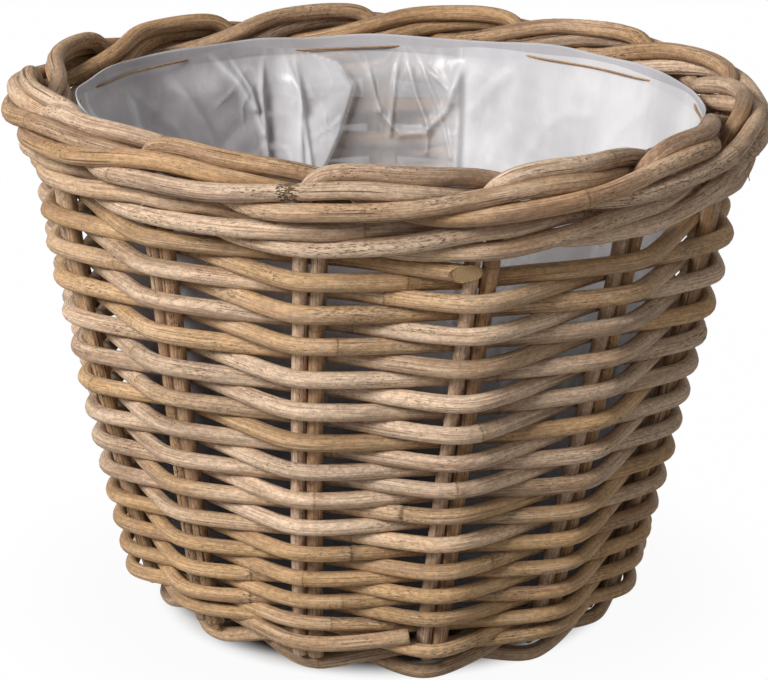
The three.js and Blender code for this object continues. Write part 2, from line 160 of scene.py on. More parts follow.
def smooth_path(points, step):
    """An even run of points on a smooth curve through the given ones."""
    given = np.array([tuple(p) for p in points])
    given = np.vstack([2 * given[0] - given[1], given, 2 * given[-1] - given[-2]])
    run = []
    for i in range(1, len(given) - 2):
        p0, p1, p2, p3 = given[i - 1:i + 3]
        t0 = 0.0
        t1 = t0 + math.sqrt(np.linalg.norm(p1 - p0))
        t2 = t1 + math.sqrt(np.linalg.norm(p2 - p1))
        t3 = t2 + math.sqrt(np.linalg.norm(p3 - p2))
        count = max(2, math.ceil(np.linalg.norm(p2 - p1) / step * 2))
        t = np.linspace(t1, t2, count, endpoint=False)[:, None]
        a1 = (t1 - t) / (t1 - t0) * p0 + (t - t0) / (t1 - t0) * p1
        a2 = (t2 - t) / (t2 - t1) * p1 + (t - t1) / (t2 - t1) * p2
        a3 = (t3 - t) / (t3 - t2) * p2 + (t - t2) / (t3 - t2) * p3
        b1 = (t2 - t) / (t2 - t0) * a1 + (t - t0) / (t2 - t0) * a2
        b2 = (t3 - t) / (t3 - t1) * a2 + (t - t1) / (t3 - t1) * a3
        run.append((t2 - t) / (t2 - t1) * b1 + (t - t1) / (t2 - t1) * b2)
    run.append(given[-2:-1])
    run = np.vstack(run)
    lengths = np.concatenate([[0], np.cumsum(np.linalg.norm(np.diff(run, axis=0), axis=1))])
    even = np.linspace(0, lengths[-1], max(3, round(lengths[-1] / step) + 1))
    run = np.stack([np.interp(even, lengths, run[:, k]) for k in range(3)], axis=1)
    reach = min(ease_reach, (len(run) - 1) // 2)
    weights = np.exp(-0.5 * (np.arange(-reach, reach + 1) / ease_reach * ease_fall) ** 2)
    before = 2 * run[0] - run[reach:0:-1]
    after = 2 * run[-1] - run[-2:-reach - 2:-1]
    padded = np.vstack([before, run, after])
    eased = [np.convolve(padded[:, k], weights / weights.sum(), "valid") for k in range(3)]
    return np.stack(eased, axis=1)


def wander(rng, length, knot, amount):
    """A smooth random drift along a cane, as a function of the distance from its end."""
    values = rng.normal(0, amount, int(length / knot) + 3)

    def at(distance):
        passed = np.clip(np.asarray(distance) / knot, 0, len(values) - 1.001)
        low = passed.astype(int)
        share = eased(passed - low)
        return values[low] * (1 - share) + values[low + 1] * share

    return at


cane_sides = 16
ring_step = 0.0024
node_reach = np.array([-0.0035, -0.002, -0.0011, -0.0005, 0.0, 0.0005, 0.0011, 0.002, 0.0035])
node_swell = 0.035
node_swell_width = 0.0022
groove_depth = 0.027
groove_width = 0.00045
bold_groove_width = 0.0009
joint_shift = 0.002
joint_width = 0.004
knot_width = 0.006
cane_end_share = 0.86
cane_end_step = 0.0003
scar_fade = 0.012
cane_random = np.random.default_rng(26)
# Node rings and one ragged knot that belong at fixed places, and how strongly they are scarred
front_node_reach = 0.0045
front_node_room = 0.04
front_nodes = [((-0.0175, -0.1475, 0.0793), 0), ((0.0081, -0.153, 0.1038), 0),
               ((-0.0691, -0.1195, 0.0557), 0), ((-0.07, -0.1166, 0.0417), 0),
               ((-0.0457, -0.185, 0.2805), 1.6)]


def cane_mesh(name, points, diameter, tone, scars=(), swell=((0, 1),), trim=None, slant=0):
    """A length of cane: a slightly uneven rod with node rings, scars and sawn ends."""
    rng = cane_random
    run = smooth_path(points, ring_step)
    lengths = np.concatenate([[0], np.cumsum(np.linalg.norm(np.diff(run, axis=0), axis=1))])
    length = lengths[-1]
    nodes = []
    at = rng.uniform(0.05, 0.26)
    while at < length - 0.01:
        nodes.append(at)
        at += rng.uniform(0.15, 0.4)
    knots = []
    for spot, scarred in front_nodes:
        apart = np.linalg.norm(run - np.array(spot), axis=1)
        if apart.min() < front_node_reach:
            knot = lengths[apart.argmin()]
            knots.append((knot, scarred))
            nodes = [node for node in nodes if abs(node - knot) > front_node_room]
            nodes.append(knot)
    nodes.sort()
    stops = [np.linspace(0, length, max(3, round(length / ring_step)))]
    stops += [node + node_reach for node in nodes]
    stops = np.unique(np.clip(np.concatenate(stops), 0, length))
    stops = stops[np.concatenate([[True], np.diff(stops) > 0.0002])]
    centre = np.stack([np.interp(stops, lengths, run[:, k]) for k in range(3)], axis=1)
    along = np.gradient(centre, axis=0)
    along /= np.linalg.norm(along, axis=1)[:, None]
    outward = np.array([centre[0][0], centre[0][1], 0.0])
    if abs(outward @ along[0]) > 0.8 * np.linalg.norm(outward):
        outward = np.array([0.0, 0.0, 1.0])
    across = np.zeros_like(centre)
    for i, direction in enumerate(along):
        outward = outward - (outward @ direction) * direction
        outward = outward / np.linalg.norm(outward)
        across[i] = outward
    up = np.cross(along, across)

    theta = np.linspace(0, 2 * math.pi, cane_sides, endpoint=False)
    thick = np.interp(stops, [at for at, _ in swell], [scale for _, scale in swell])
    thick *= 1 + wander(rng, length, 0.05, 0.013)(stops)
    radius = np.repeat(diameter / 2 * thick[:, None], cane_sides, axis=1)
    for waves, size in ((2, 0.014), (3, 0.009), (5, 0.004)):
        phase = wander(rng, length, 0.04, 2.0)(stops)[:, None]
        radius += size * diameter * np.cos(waves * theta[None, :] + phase)
    ring = np.zeros(len(stops))
    joint = np.zeros(len(stops))
    tones = np.full(len(stops), tone)
    for node in nodes:
        tones[stops > node] = tone + rng.uniform(-0.22, 0.22)
        near = (stops - node) / node_swell_width
        radius += (node_swell * diameter * np.exp(-near ** 2) * rng.uniform(0.5, 1.3))[:, None]
        bold = any(node == knot for knot, _ in knots)
        groove = np.exp(-((stops - node) / (bold_groove_width if bold else groove_width)) ** 2)
        radius -= groove_depth * diameter * groove[:, None]
        ring = np.maximum(ring, groove * (1.7 if bold else 1))
        joint = np.maximum(joint, np.exp(-((stops - node - joint_shift) / joint_width) ** 2))
    scar = np.zeros((len(stops), cane_sides))
    for start, end, facing, width in scars:
        span = np.clip((stops - start) / scar_fade, 0, 1)
        span *= np.clip((end - stops) / scar_fade, 0, 1)
        turned = np.cos(theta - math.radians(facing))
        scar = np.maximum(scar, span[:, None] * np.clip((turned - 1 + width) / 0.5, 0, 1)[None, :])
    for knot, scarred in knots:
        near = np.exp(-((stops - knot) / knot_width) ** 4)[:, None]
        scar = np.maximum(scar, near * (scarred + 0.9) * (0.4 + 0.6 * (np.cos(theta) > -0.5)))
    ragged = rng.normal(0, 0.00012, scar.shape)
    radius += scar * (ragged - 0.00015)

    def ring_points(i, scale=1.0, shift=0.0):
        facing = np.cos(theta)[:, None] * across[i] + np.sin(theta)[:, None] * up[i]
        return centre[i] + shift * along[i] + facing * (radius[i] * scale)[:, None]

    def for_points(values, at_start=0, at_end=0, on_caps=0):
        """A value for each point: those of the rings, of the rim at each end and of the caps."""
        on_body = np.concatenate([[at_start], values, [at_end]]).repeat(cane_sides)
        return np.concatenate([on_body, np.full(2 * (cane_sides + 1), on_caps)])

    rings = [ring_points(i) for i in range(len(stops))]
    space = [np.stack([radius[i] * np.cos(theta), radius[i] * np.sin(theta),
                       np.full(cane_sides, stops[i])], axis=1) for i in range(len(stops))]
    start_rim = ring_points(0, cane_end_share, -cane_end_step)
    end_rim = ring_points(-1, cane_end_share, cane_end_step)
    positions = np.vstack([start_rim, *rings, end_rim,
                           start_rim, centre[:1] - cane_end_step * along[:1],
                           end_rim, centre[-1:] + cane_end_step * along[-1:]])
    flat = np.zeros((1, 3))
    spaces = np.vstack([space[0], *space, space[-1], space[0], flat, space[-1], flat])
    spaces[:, 2] += rng.uniform(0, 40)
    body = (len(stops) + 2) * cane_sides
    cut = for_points(np.zeros(len(stops)), on_caps=1)
    scars_of = np.zeros(len(positions))
    scars_of[cane_sides:body - cane_sides] = scar.ravel()
    if trim is not None:
        positions[:, 2] = np.maximum(positions[:, 2], trim)
    if slant:
        from_end = (positions - centre[-1]) @ along[-1]
        facing = (positions - centre[-1]) @ across[-1] / (diameter / 2)
        beyond = np.where(np.abs(from_end) < 2 * slant, from_end + slant * (1 + facing) / 2, -1)
        positions -= np.maximum(beyond, 0)[:, None] * along[-1]
        cut = np.maximum(cut, beyond > -cane_end_step)

    faces = []
    for low in range(0, body - cane_sides, cane_sides):
        high = low + cane_sides
        for side in range(cane_sides):
            turn = (side + 1) % cane_sides
            faces.append((low + side, low + turn, high + turn, high + side))
    first, last = body, body + cane_sides + 1
    for side in range(cane_sides):
        turn = (side + 1) % cane_sides
        faces.append((first + turn, first + side, first + cane_sides))
        faces.append((last + side, last + turn, last + cane_sides))
    mesh = bpy.data.meshes.new(name)
    mesh.from_pydata(positions.tolist(), [], faces)
    mesh.shade_smooth()
    for label, values in (("cane_cut", cut), ("cane_node", for_points(ring)),
                          ("cane_joint", for_points(joint)), ("cane_scar", scars_of),
                          ("cane_tone", for_points(tones, tones[0], tones[-1], tone))):
        mesh.attributes.new(label, "FLOAT", "POINT").data.foreach_set("value", values)
    mesh.attributes.new("cane_space", "FLOAT_VECTOR", "POINT").data.foreach_set(
        "vector", spaces.ravel())
    return mesh


def random_scars(count, starts, lengths, facings, width):
    """Scars along a cane: where each starts and ends, the side it faces, how far round it goes."""
    scars = []
    for start in cane_random.uniform(*starts, count):
        end = start + cane_random.uniform(*lengths)
        scars.append((start, end, cane_random.uniform(*facings), width))
    return scars


def add_node(tree, kind, inputs, **settings):
    """A shader node whose inputs are set or linked in one go."""
    made = tree.nodes.new(kind)
    for key, value in settings.items():
        setattr(made, key, value)
    for key, value in inputs.items():
        if isinstance(value, bpy.types.NodeSocket):
            tree.links.new(value, made.inputs[key])
        else:
            made.inputs[key].default_value = value
    return made


def noise(tree, vector, stretch, detail=2.0, roughness=0.55):
    """Noise in the cane's own space: stretch is how many to a metre across and along it."""
    scaled = add_node(tree, "ShaderNodeVectorMath", {0: vector, 1: stretch},
                      operation="MULTIPLY").outputs[0]
    return add_node(tree, "ShaderNodeTexNoise", {"Vector": scaled, "Scale": 1.0,
                    "Detail": detail, "Roughness": roughness}).outputs["Fac"]


def spread(tree, value, low, high, to_low=0.0, to_high=1.0):
    return add_node(tree, "ShaderNodeMapRange", {"Value": value, "From Min": low,
                    "From Max": high, "To Min": to_low, "To Max": to_high},
                    interpolation_type="SMOOTHSTEP").outputs["Result"]


def maths(tree, operation, a, b):
    return add_node(tree, "ShaderNodeMath", {0: a, 1: b}, operation=operation).outputs[0]


def times(tree, a, b):
    return maths(tree, "MULTIPLY", a, b)


def larger(tree, a, b):
    return maths(tree, "MAXIMUM", a, b)


def scaled_colour(tree, colour, factor):
    return add_node(tree, "ShaderNodeVectorMath", {0: colour, 3: factor},
                    operation="SCALE").outputs[0]


def blend(tree, share, a, b):
    return add_node(tree, "ShaderNodeMix", {0: share, 6: a, 7: b}, data_type="RGBA").outputs[2]


def attribute(tree, name, output="Fac"):
    return add_node(tree, "ShaderNodeAttribute", {}, attribute_name=name).outputs[output]


def cane_skin_group():
    """The skin of peeled, weathered rattan: fibres, dark flecks, scars, node rings, sawn ends."""
    group = bpy.data.node_groups.new("cane_skin", "ShaderNodeTree")
    face = group.interface
    for name, kind in (("Pale", "NodeSocketColor"), ("Gold", "NodeSocketColor"),
                       ("Brown", "NodeSocketColor"), ("Flecks", "NodeSocketFloat"),
                       ("Cracks", "NodeSocketFloat")):
        face.new_socket(name=name, in_out="INPUT", socket_type=kind)
    for name, kind in (("Colour", "NodeSocketColor"), ("Height", "NodeSocketFloat"),
                       ("Roughness", "NodeSocketFloat")):
        face.new_socket(name=name, in_out="OUTPUT", socket_type=kind)
    given = group.nodes.new("NodeGroupInput").outputs
    space = attribute(group, "cane_space", "Vector")
    tone = attribute(group, "cane_tone")
    scar = attribute(group, "cane_scar")
    ring = attribute(group, "cane_node")
    joint = attribute(group, "cane_joint")
    cut = attribute(group, "cane_cut")

    broad = noise(group, space, (110, 110, 9), 3.0)
    drift = noise(group, space, (16, 16, 11), 2.0)
    fibre = noise(group, space, (1300, 1300, 24), 3.0, 0.65)
    fine = noise(group, space, (3200, 3200, 90), 1.5)
    grain = noise(group, space, (1500, 1500, 340), 2.0, 0.7)
    patch = noise(group, space, (80, 80, 24), 2.0)
    crack = noise(group, space, (900, 900, 14), 1.0)
    pit = noise(group, space, (1100, 1100, 800), 1.0)
    shade = noise(group, space, (7, 7, 6), 1.0)
    mottle = noise(group, space, (560, 560, 300), 3.0, 0.75)

    golden = maths(group, "ADD", times(group, drift, 1.2), tone)
    colour = blend(group, spread(group, golden, 0.85, 1.5), given["Pale"], given["Gold"])
    browned = spread(group, broad, 0.46, 0.7, 0.0, 0.85)
    colour = blend(group, browned, colour, given["Brown"])
    shaded = times(group, spread(group, shade, 0.32, 0.68, 0.8, 1.14),
                   spread(group, mottle, 0.36, 0.64, 0.78, 1.2))
    colour = scaled_colour(group, colour, shaded)
    dark_fibre = spread(group, fibre, 0.5, 0.66, 0.0, 0.8)
    colour = blend(group, dark_fibre, colour, given["Brown"])
    light_fibre = spread(group, fibre, 0.46, 0.32, 0.0, 0.45)
    colour = blend(group, light_fibre, colour, (0.74, 0.6, 0.45, 1))
    fleck_place = times(group, spread(group, patch, 0.48, 0.66), given["Flecks"])
    fleck_place = maths(group, "ADD", fleck_place, 0.1)
    fleck_place = larger(group, fleck_place, scar)
    fleck_place = larger(group, fleck_place, times(group, joint, 0.7))
    knotty = larger(group, maths(group, "SUBTRACT", scar, 1.0), 0.0)
    raised = maths(group, "ADD", grain, times(group, knotty, 0.09))
    fleck = times(group, spread(group, raised, 0.57, 0.66), fleck_place)
    colour = blend(group, times(group, fleck, 0.85), colour, (0.05, 0.027, 0.014, 1))
    pitted = times(group, spread(group, pit, 0.68, 0.74), 0.75)
    colour = blend(group, pitted, colour, (0.07, 0.04, 0.02, 1))
    split = times(group, spread(group, crack, 0.67, 0.7), given["Cracks"])
    colour = blend(group, times(group, split, 0.85), colour, (0.06, 0.035, 0.02, 1))
    scale_light = times(group, spread(group, grain, 0.5, 0.38), scar)
    colour = blend(group, times(group, scale_light, 0.6), colour, (0.68, 0.53, 0.38, 1))
    ragged = times(group, ring, spread(group, grain, 0.35, 0.55, 0.15, 0.8))
    colour = blend(group, ragged, colour, (0.09, 0.05, 0.026, 1))
    colour = blend(group, times(group, joint, 0.3), colour, (0.3, 0.18, 0.085, 1))
    pore = spread(group, noise(group, space, (2600, 2600, 0), 1.0), 0.5, 0.62, 0.0, 0.7)
    sawn = blend(group, pore, (0.58, 0.38, 0.19, 1), (0.2, 0.12, 0.06, 1))
    colour = blend(group, cut, colour, sawn)

    height = maths(group, "ADD", times(group, fibre, 0.6), times(group, fine, 0.3))
    height = maths(group, "SUBTRACT", height, times(group, fleck, 0.5))
    height = maths(group, "SUBTRACT", height, times(group, split, 0.8))
    height = maths(group, "SUBTRACT", height, times(group, scale_light, 0.25))
    rough = spread(group, browned, 0.0, 0.85, 0.7, 0.5)
    rough = maths(group, "ADD", rough, times(group, fleck_place, 0.15))
    out = group.nodes.new("NodeGroupOutput")
    for name, value in (("Colour", colour), ("Height", height), ("Roughness", rough)):
        group.links.new(value, out.inputs[name])
    return group


cane_skin = cane_skin_group()


def new_material(name):
    material = bpy.data.materials.new(name)
    material.use_nodes = True
    return material, material.node_tree, material.node_tree.nodes["Principled BSDF"]


def cane_material(name, pale, gold, brown, flecks, cracks):
    material, tree, shader = new_material(name)
    skin = add_node(tree, "ShaderNodeGroup", {}, node_tree=cane_skin)
    for key, value in (("Pale", pale), ("Gold", gold), ("Brown", brown), ("Flecks", flecks),
                       ("Cracks", cracks)):
        skin.inputs[key].default_value = value
    bump = add_node(tree, "ShaderNodeBump", {"Height": skin.outputs["Height"],
                    "Strength": 0.7, "Distance": 0.0006})
    tree.links.new(skin.outputs["Colour"], shader.inputs["Base Color"])
    tree.links.new(skin.outputs["Roughness"], shader.inputs["Roughness"])
    tree.links.new(bump.outputs["Normal"], shader.inputs["Normal"])
    shader.inputs["Specular IOR Level"].default_value = 0.35
    return material


base_cane = cane_material("base_cane", (0.47, 0.32, 0.2, 1), (0.42, 0.25, 0.12, 1),
                          (0.19, 0.11, 0.06, 1), 0.6, 0.5)


def numbered(name, index):
    return f"{name}_{index + 1:02d}"


def add_object(name, data):
    made = bpy.data.objects.new(name, data)
    bpy.context.scene.collection.objects.link(made)
    return made


def cane_piece(node, points, diameter, material, slot, tone, **details):
    """One cane in place of its plain solid, riding on the basket's only body."""
    mesh = cane_mesh(node, points, diameter, tone, **details)
    mesh.materials.append(material)
    piece = add_object(node + "_cane", mesh)
    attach(piece, "root")
    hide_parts(node)
    return piece


def base_stick_points(from_spoke, to_spoke, side_step, axis_spoke, lift):
    axis = place(axis_spoke, 1, stick_height)
    axis.z = 0
    axis.normalize()
    across = Vector((-axis.y, axis.x, 0)) * (side_step * stick_lay)
    middle = [across + axis * reach for reach in (base_cross_reach, -base_cross_reach)]
    for point in middle:
        point.z = crown_height(0) + lift
    start = [spoke_point(from_spoke, spoke_tip), spoke_point(from_spoke, base_fan_reach)]
    end = [spoke_point(to_spoke, base_fan_reach), spoke_point(to_spoke, spoke_tip)]
    return start + middle + end


stick_plan = [
    (1, 5, 1, 0, -0.5), (0, 6, 0, 0, -0.5), (12, 7, -1, 0, -0.5),
    (4, 8, 1, 3, 0.5), (3, 9, 0, 3, 0.5), (2, 10, -1, 3, 0.5),
]
for index, (start, end, side, axis_spoke, layer) in enumerate(stick_plan):
    points = base_stick_points(start, end, side, axis_spoke, layer * stick_lay)
    cane_piece(numbered("base_stick", index), points, base_stick_diameter, base_cane,
               "base_cane", 0.4)
short_points = [spoke_point(11, base_fan_reach), spoke_point(11, spoke_tip)]
cane_piece("base_short_stick", short_points, base_stick_diameter, base_cane, "base_cane", 0.5)

# Base weave
# Two canes spiral out over and under the spokes, packed close, from the cross to the foot.
# A thinner cane, the slath tie, binds the crossed sticks where they fan out.
base_weaver_diameter = 0.006
base_weave_start = 0.048
base_weave_gap = 0.0022
foot_outer = stake_radius_at_floor - 0.002
foot_inner = stake_radius_at_floor - 0.011
base_weave_end = foot_inner - (foot_rod_diameter + base_weaver_diameter) / 2 - base_weave_gap
butt_flat = 0.0025
tie_diameter = 0.0044
tie_start = 0.0258
tie_turns = 1.5


def butted_places(step, first, last):
    if step == first:
        return [cane_clearance / 2, butt_flat]
    return [-butt_flat, -cane_clearance / 2] if step == last else [0.0]


base_reach = (base_stick_diameter + base_weaver_diameter) / 2 + base_clearance
base_row_pitch = base_weaver_diameter + base_clearance
base_spacings = math.floor((base_weave_end - base_weave_start) / base_row_pitch * pair_count)
for index in range(2):
    first = index * (base_spacings // 2)
    last = first + base_spacings // 2
    points = []
    for spacing in range(first, last + 1):
        radius = base_weave_start + base_row_pitch * spacing / pair_count
        rise = base_reach * (1 if spacing % 2 == 0 else -1)
        for sideways in butted_places(spacing, first, last):
            points.append(spoke_point(spacing + sideways / radius / pair_spacing, radius, rise))
    cane_piece(numbered("base_weaver", index), points, base_weaver_diameter, base_cane,
               "base_cane", 0.45)
tie_reach = (base_stick_diameter + tie_diameter) / 2 + base_clearance
tie_points = []
for step in range(round(tie_turns * pair_count) + 1):
    over_lower = step % pair_count in (0, 1, 5, 6, 7, 12)
    radius = tie_start + (tie_diameter + base_clearance) * step / pair_count
    tie_points.append(spoke_point(step, radius, tie_reach if over_lower else -tie_reach))
cane_piece("base_tie", tie_points, tie_diameter, base_cane, "base_cane", 0.3)

# Foot
# Two canes twined round the ends of the spokes, under one spoke and over the next by turns.
# One is brought round once more in front of a pair and cut off. The planter stands on them.
foot_over = crown_height(foot_inner) + base_stick_diameter / 2 + foot_half + base_clearance
foot_slope = math.atan2(foot_over - foot_rod_height, foot_outer - foot_inner)
foot_cross = 1.08 * (foot_rod_diameter + base_clearance) / 2
foot_at_spoke = [(foot_outer, foot_rod_height), (foot_inner, foot_over)]
foot_between = [((foot_outer + foot_inner) / 2 + side * foot_cross * math.sin(foot_slope),
                 (foot_over + foot_rod_height) / 2 + side * foot_cross * math.cos(foot_slope))
                for side in (1, -1)]
foot_flat = 0.005

foot_start = 12
tail_points = [(12.07, 0.1235, 0.0232), (12.5, 0.134, 0.0262), (12.92, 0.1425, 0.0243),
               (13.1, 0.143, 0.0243), (13.45, 0.1428, 0.0272), (13.8, 0.1422, 0.0303)]
for index in range(2):
    points = []
    for step in range(index - 1, pair_count):
        turn = foot_start + step
        phase = (index + step) % 2
        radius, height = foot_at_spoke[phase]
        if step >= 0:
            points.append(settled(place(turn, radius, height, -foot_flat)))
        if index == 0 or step < pair_count - 1:
            points.append(settled(place(turn, radius, height, foot_flat)))
            points.append(settled(place(turn + 0.5, *foot_between[phase])))
    if index == 0:
        points.append(settled(place(foot_start + pair_count, *foot_at_spoke[1], -foot_flat)))
    else:
        points += [place(foot_start + turn, radius, height)
                   for turn, radius, height in tail_points]
    cane_piece(numbered("foot_rod", index), points, foot_rod_diameter, base_cane, "base_cane",
               0.5, trim=0.0)

# Stakes and rolled border
# Thirteen pairs of canes are driven in beside the spokes and lean outward. The left cane of
# each pair is turned down at the rim, behind one pair, in front of two and in again.
lay = stake_diameter + cane_clearance
border_top_line = basket_height - stake_diameter / 2
bend_height = border_top_line - 1.73 * lay
stake_bottom = 0.0134
hidden_bottoms = {0: 0.0215, 1: 0.0175, 2: 0.016, 9: 0.017, 10: 0.02, 11: 0.0185}
bye_stake_below_rim = 0.02
pair_half = (stake_diameter + cane_clearance) / 2
# The path of the turned-down cane: pairs passed, how far out and how far down, in thicknesses
border_stations = [
    (0.02, 0.22, 0.4), (0.2, 0.21, 0), (0.5, 0.07, 0.07), (0.75, -0.58, 0.21),
    (1, -1.44, 0.68), (1.25, -1.02, 1.4), (1.5, -0.04, 1.98), (1.75, 0.92, 2.1),
    (2, 1.36, 1.9), (2.5, 1.42, 1.6), (3, 1.14, 0.86), (3.25, 1.02, 0.69),
    (3.5, 0.58, 0.9), (3.75, -0.59, 1.29), (4, -1.64, 1.79), (4.2, -1.86, 2.11),
]
tucked_ends = {12: [(4, -1.05, 1.79), (4.12, -1.1, 1.95)]}
stake_cane = cane_material("stake_cane", (0.62, 0.445, 0.31, 1), (0.44, 0.26, 0.125, 1),
                           (0.24, 0.135, 0.075, 1), 1.0, 1.0)
stake_swell = ((0, 0.95), (0.25, 0.98), (0.29, 1.14), (0.68, 1.12), (0.76, 1.0))
for pair in range(pair_count):
    points = []
    bottom = hidden_bottoms.get(pair, stake_bottom)
    for share in (0, 0.25, 0.5, 0.75, 1):
        height = bottom + (bend_height - bottom) * share
        points.append(settled(place(pair, stake_radius(height), height, -pair_half), False))
    for turn, out, drop in border_stations[:-2] + tucked_ends.get(pair, border_stations[-2:]):
        radius = stake_radius_at_rim + out * lay
        points.append(settled(place(pair + turn, radius, border_top_line - drop * lay)))
    scars = random_scars(2, (0.3, 0.55), (0.03, 0.09), (-60, 80), 0.6)
    tone = cane_random.uniform(0.2, 0.7) + (0.4 if 3 <= pair <= 8 else 0)
    cane_piece(numbered("stake", pair), points, stake_diameter, stake_cane, "stake_cane", tone,
               scars=scars, swell=stake_swell)
    points = []
    for share in (0, 0.33, 0.67, 1):
        height = bottom + (basket_height - bye_stake_below_rim - bottom) * share
        points.append(settled(place(pair, stake_radius(height), height, pair_half), False))
    cane_piece(numbered("bye_stake", pair), points, stake_diameter, stake_cane, "stake_cane",
               cane_random.uniform(0.6, 1.1))

# Weavers
# Sixteen canes laid round the stakes in one spiral of plain weave, in front of one pair and
# behind the next. They are thin and packed tight at the foot, thicker and more open above.
weaver_count = 16
first_row_height = 0.0235
foot_pitch = 0.0064
rim_pitch = 0.00969
row_clearance = 0.00045
weave_headroom = 0.0003
pair_flat = 0.0056
last_weaver_slant = 0.017
wale_diameter = 0.0086
wale_height = basket_height - 0.0346
wale_rise = (wale_diameter + cane_clearance) / 2
last_row_height = (wale_height - wale_rise - (wale_diameter + rim_pitch - row_clearance) / 2
                   - weave_headroom)
weave_turns = (last_row_height - first_row_height) / ((foot_pitch + rim_pitch) / 2)
last_spacing = 2 * math.floor(weave_turns * pair_count / 2) + 1


def row_pitch(spacing):
    return foot_pitch + (rim_pitch - foot_pitch) * spacing / pair_count / weave_turns


def row_height(spacing):
    return first_row_height + (foot_pitch + row_pitch(spacing)) / 2 * spacing / pair_count


def join_index(index):
    return 2 * round((last_spacing + 1) / 2 * index / weaver_count) - 1


weaver_cane = cane_material("weaver_cane", (0.64, 0.465, 0.325, 1), (0.5, 0.31, 0.15, 1),
                            (0.28, 0.165, 0.092, 1), 0.8, 0.4)
for index in range(weaver_count):
    first = max(1, join_index(index))
    last = join_index(index + 1)
    diameter = row_pitch(join_index(index)) - row_clearance
    stand_off = stake_diameter / 2 + cane_clearance + diameter / 2
    points = []
    cut_off = last_weaver_slant if index == weaver_count - 1 else 0
    for spacing in range(first, last + (0 if cut_off else 1)):
        side = 1 if spacing % 2 == 0 else -1
        radius = stake_radius(row_height(spacing)) + side * stand_off
        left = cane_clearance / 2 if spacing == first else -pair_flat
        right = -cane_clearance / 2 if spacing == last else pair_flat
        if cut_off and spacing == last - 1:
            right = -0.5 * pair_flat
        for sideways in (left, right):
            height = row_height(spacing + sideways / radius / pair_spacing)
            points.append(settled(place(spacing - 1, radius, height, sideways)))
    scars = random_scars(4, (0.05, 1.6), (0.02, 0.07), (-70, 70), 0.5)
    thicken = 1.24 - 0.21 * index / weaver_count
    # The lowest weavers get a more golden, darker tone, darker towards the foot
    tone = cane_random.uniform(0.1, 0.8) + 0.8 * max(0, 1 - index / 7)
    cane_piece(numbered("weaver", index), points, diameter, weaver_cane, "weaver_cane", tone,
               scars=scars, swell=((0, thicken),), slant=cut_off)

# Top wale
# Three stout canes twisted round the stakes under the border, each in front of two pairs
# and behind the third. They lock the weave and hold the bye-stakes.
wale_bow = 1.2
wale_spread = 1.2
wale_out = (stake_diameter + wale_diameter) / 2 + cane_clearance
rod_lengths = [12, 12, 15]
wale_at_pair = [(wale_out, -wale_rise), (wale_out, wale_rise), (-wale_out, 0)]
wale_between = [(wale_out * wale_bow, 0), (0, wale_rise * wale_spread),
                (0, -wale_rise * wale_spread)]
first_back_turn = 7
step_of = 3 * first_back_turn + 2
for index, length in enumerate(rod_lengths):
    points = []
    for step in range(length + 1):
        out, rise = wale_at_pair[(step_of + step) % 3]
        height = wale_height + rise
        left = cane_clearance / 2 if step == 0 else -pair_flat
        right = -cane_clearance / 2 if step == length else pair_flat
        for sideways in (left, right):
            radius = stake_radius(height) + out
            points.append(settled(place(step_of + step, radius, height, sideways)))
        if step < length:
            out, rise = wale_between[(step_of + step) % 3]
            height = wale_height + rise
            radius = stake_radius(height) + out
            points.append(settled(place(step_of + step + 0.5, radius, height)))
    step_of += length
    scars = random_scars(5, (0.05, 1.0), (0.04, 0.1), (-50, 60), 0.7)
    cane_piece(numbered("top_wale_rod", index), points, wale_diameter, weaver_cane,
               "weaver_cane", cane_random.uniform(0.2, 0.6), scars=scars, swell=((0, 1.08),))

# Loose fibres
# Fine hairs of cane that have sprung off the top wale. Each stays fast at one end and curls
# a little away from it at the other.
fibre_count = 12
fibre_diameter = 0.0005
fibre_root = 0.0036
fibre_curl = 0.0022
fibre_random = np.random.default_rng(31)
for index in range(fibre_count):
    bearing = fibre_random.uniform(25, 80) if index < 7 else fibre_random.uniform(100, 330)
    height = wale_height + fibre_random.uniform(-0.003, 0.003)
    length = fibre_random.uniform(0.01, 0.02)
    droop = fibre_random.uniform(-0.6, 0.6)
    drift = fibre_random.choice((-1, 1)) * fibre_random.uniform(3, 6)
    points = []
    for share in (0, 0.3, 0.65, 1):
        turned = math.radians(bearing + drift * share)
        level = height + length * droop * share ** 1.4
        off_wall = wale_out * wale_bow + fibre_root + fibre_curl * share ** 2
        points.append(settled(point_at(turned, stake_radius(level) + off_wall, level)))
    mesh = cane_mesh(numbered("loose_fibre", index), points, fibre_diameter, -0.3)
    mesh.materials.append(weaver_cane)
    fibre = add_object(numbered("loose_fibre", index), mesh)
    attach(fibre, "root")

# Film liner
# A bag of thin milky film, turned over at the top into a doubled hem. It hangs loose inside
# the wall, pouched and creased where it is slack, and lies on the woven base.
liner_top = 0.2765
liner_top_radius = 0.1622
liner_corner = 0.0302
liner_corner_radius = 0.1222
liner_floor = 0.0258
hem_depth = 0.009
film_stand_off = 0.0008
film_columns = 900
film_rows = 170
hem_rows = 8
film_random = np.random.default_rng(5)
film_angle = np.linspace(0, 360, film_columns, endpoint=False)[None, :]
film_bearing = np.radians(film_angle)
film_share = np.linspace(0, 1, film_rows)[:, None]
film_height = liner_corner + (liner_top - liner_corner) * film_share


def step_up(value, low, high):
    return eased(np.clip((value - low) / (high - low), 0, 1))


def around(angle, centre):
    """How many degrees an angle lies from another, the short way round."""
    return (angle - centre + 180) % 360 - 180


